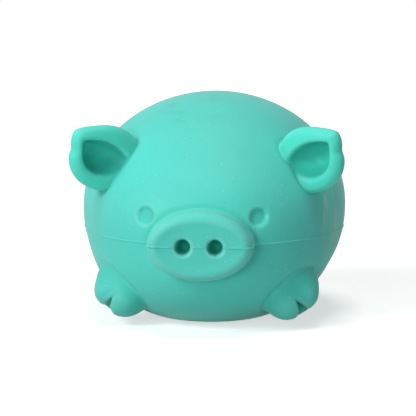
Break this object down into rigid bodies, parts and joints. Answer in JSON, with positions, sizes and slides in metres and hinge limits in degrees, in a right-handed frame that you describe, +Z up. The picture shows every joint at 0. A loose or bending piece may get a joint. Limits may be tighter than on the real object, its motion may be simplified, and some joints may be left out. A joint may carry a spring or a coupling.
{
  "type": "pig squeeze toy",
  "caption": "Round soft rubber pig for squeezing in the hand, with an oval snout, cupped ears, stub legs and a curled tail.",
  "frame": {"origin": "middle of the toy's outline seen from above, on the surface that it rests on", "axes": "+Z up, -Y the way the snout points, +X the pig's own left"},
  "size_m": [0.0706, 0.0788, 0.0586],
  "materials": {
    "skin_rubber": "matt to satin moulded thermoplastic rubber, mint green",
    "soft_filling": "soft translucent gel",
    "stopper_rubber": "matt moulded rubber"
  },
  "bodies": {
    "base": {"skin_lower": "skin_rubber", "filling": "soft_filling", "fill_plug": "stopper_rubber", "snout": "skin_rubber", "front_leg_left": "skin_rubber", "front_leg_right": "skin_rubber", "rear_leg_left": "skin_rubber", "rear_leg_right": "skin_rubber"},
    "crown": {"skin_upper": "skin_rubber", "tail": "skin_rubber"},
    "ear_left": {"ear_left": "skin_rubber"},
    "ear_right": {"ear_right": "skin_rubber"}
  },
  "joints": [
    {"name": "squeeze", "type": "slide", "parent": "base", "child": "crown", "axis": [0, 0, 1], "range_m": [-0.014, 0], "stiffness_N_per_m": 700, "springref_m": 0.002, "deforming": ["skin_upper", "skin_lower", "filling"]},
    {"name": "ear_left_flex", "type": "hinge", "parent": "crown", "child": "ear_left", "pos_m": [0.0228, -0.0147, 0.0407], "axis": [0.5592, -0.2311, -0.7962], "range_deg": [-20, 35], "stiffness_Nm_per_rad": 0.005},
    {"name": "ear_right_flex", "type": "hinge", "parent": "crown", "child": "ear_right", "pos_m": [-0.0228, -0.0147, 0.0407], "axis": [0.5592, 0.2311, 0.7962], "range_deg": [-20, 35], "stiffness_Nm_per_rad": 0.005}
  ]
}
